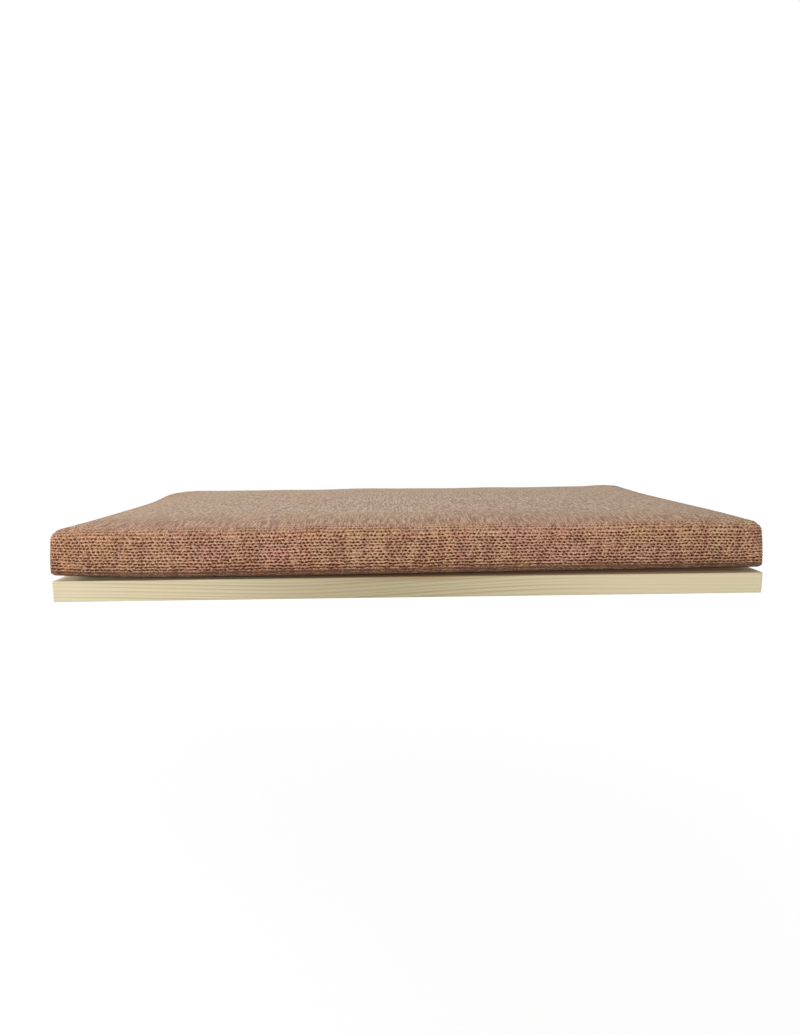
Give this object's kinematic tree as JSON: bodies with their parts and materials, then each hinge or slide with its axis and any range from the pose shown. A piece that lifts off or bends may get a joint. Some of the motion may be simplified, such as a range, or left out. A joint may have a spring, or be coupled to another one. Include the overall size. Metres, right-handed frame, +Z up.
{
  "type": "cat wall shelf",
  "caption": "Floating wall shelf for a cat: a pine board that slides onto hidden steel rods, with a zipped knit cushion held by hook-and-loop strips.",
  "frame": {"origin": "middle of the board's rear edge, on the wall and at half the board's thickness", "axes": "+X along the wall to the right, +Y into the wall, +Z up"},
  "size_m": [0.604, 0.351, 0.0634],
  "materials": {
    "plated_steel": "satin",
    "pine": "matte",
    "hook_tape": "matte",
    "knit": "matte",
    "lining": "matte",
    "foam": "matte",
    "loop_tape": "matte",
    "zip_tape": "matte",
    "zip_coil": "satin",
    "zip_metal": "satin"
  },
  "bodies": {
    "wall_supports": {"left_wall_plate": "plated_steel", "right_wall_plate": "plated_steel", "left_support_rod": "plated_steel", "right_support_rod": "plated_steel"},
    "shelf": {"shelf_board": "pine", "front_hook_strip": "hook_tape", "rear_hook_strip": "hook_tape"},
    "cushion": {"cushion_cover": "knit", "cover_lining": "lining", "foam_core": "foam", "front_loop_strip": "loop_tape", "rear_loop_strip": "loop_tape", "zip_upper_tape": "zip_tape", "zip_lower_tape": "zip_tape", "zip_upper_coil": "zip_coil", "zip_lower_coil": "zip_coil", "zip_bottom_stop": "zip_metal", "zip_top_stops": "zip_metal"},
    "slider": {"zip_slider": "zip_metal"},
    "pull": {"zip_pull": "zip_metal"}
  },
  "joints": [
    {"name": "board_slide", "type": "slide", "parent": "wall_supports", "child": "shelf", "axis": [0, -1, 0], "range_m": [0, 0.205]},
    {"name": "cushion_lift", "type": "slide", "parent": "shelf", "child": "cushion", "axis": [0, 0, 1], "range_m": [0, 0.12]},
    {"name": "zip_slide", "type": "slide", "parent": "cushion", "child": "slider", "axis": [-1, 0, 0], "range_m": [0, 0.465]},
    {"name": "zip_pull_flip", "type": "hinge", "parent": "slider", "child": "pull", "pos_m": [0.2325, -0.0045, 0.0294], "axis": [0, 0, 1], "range_deg": [0, 180]}
  ]
}
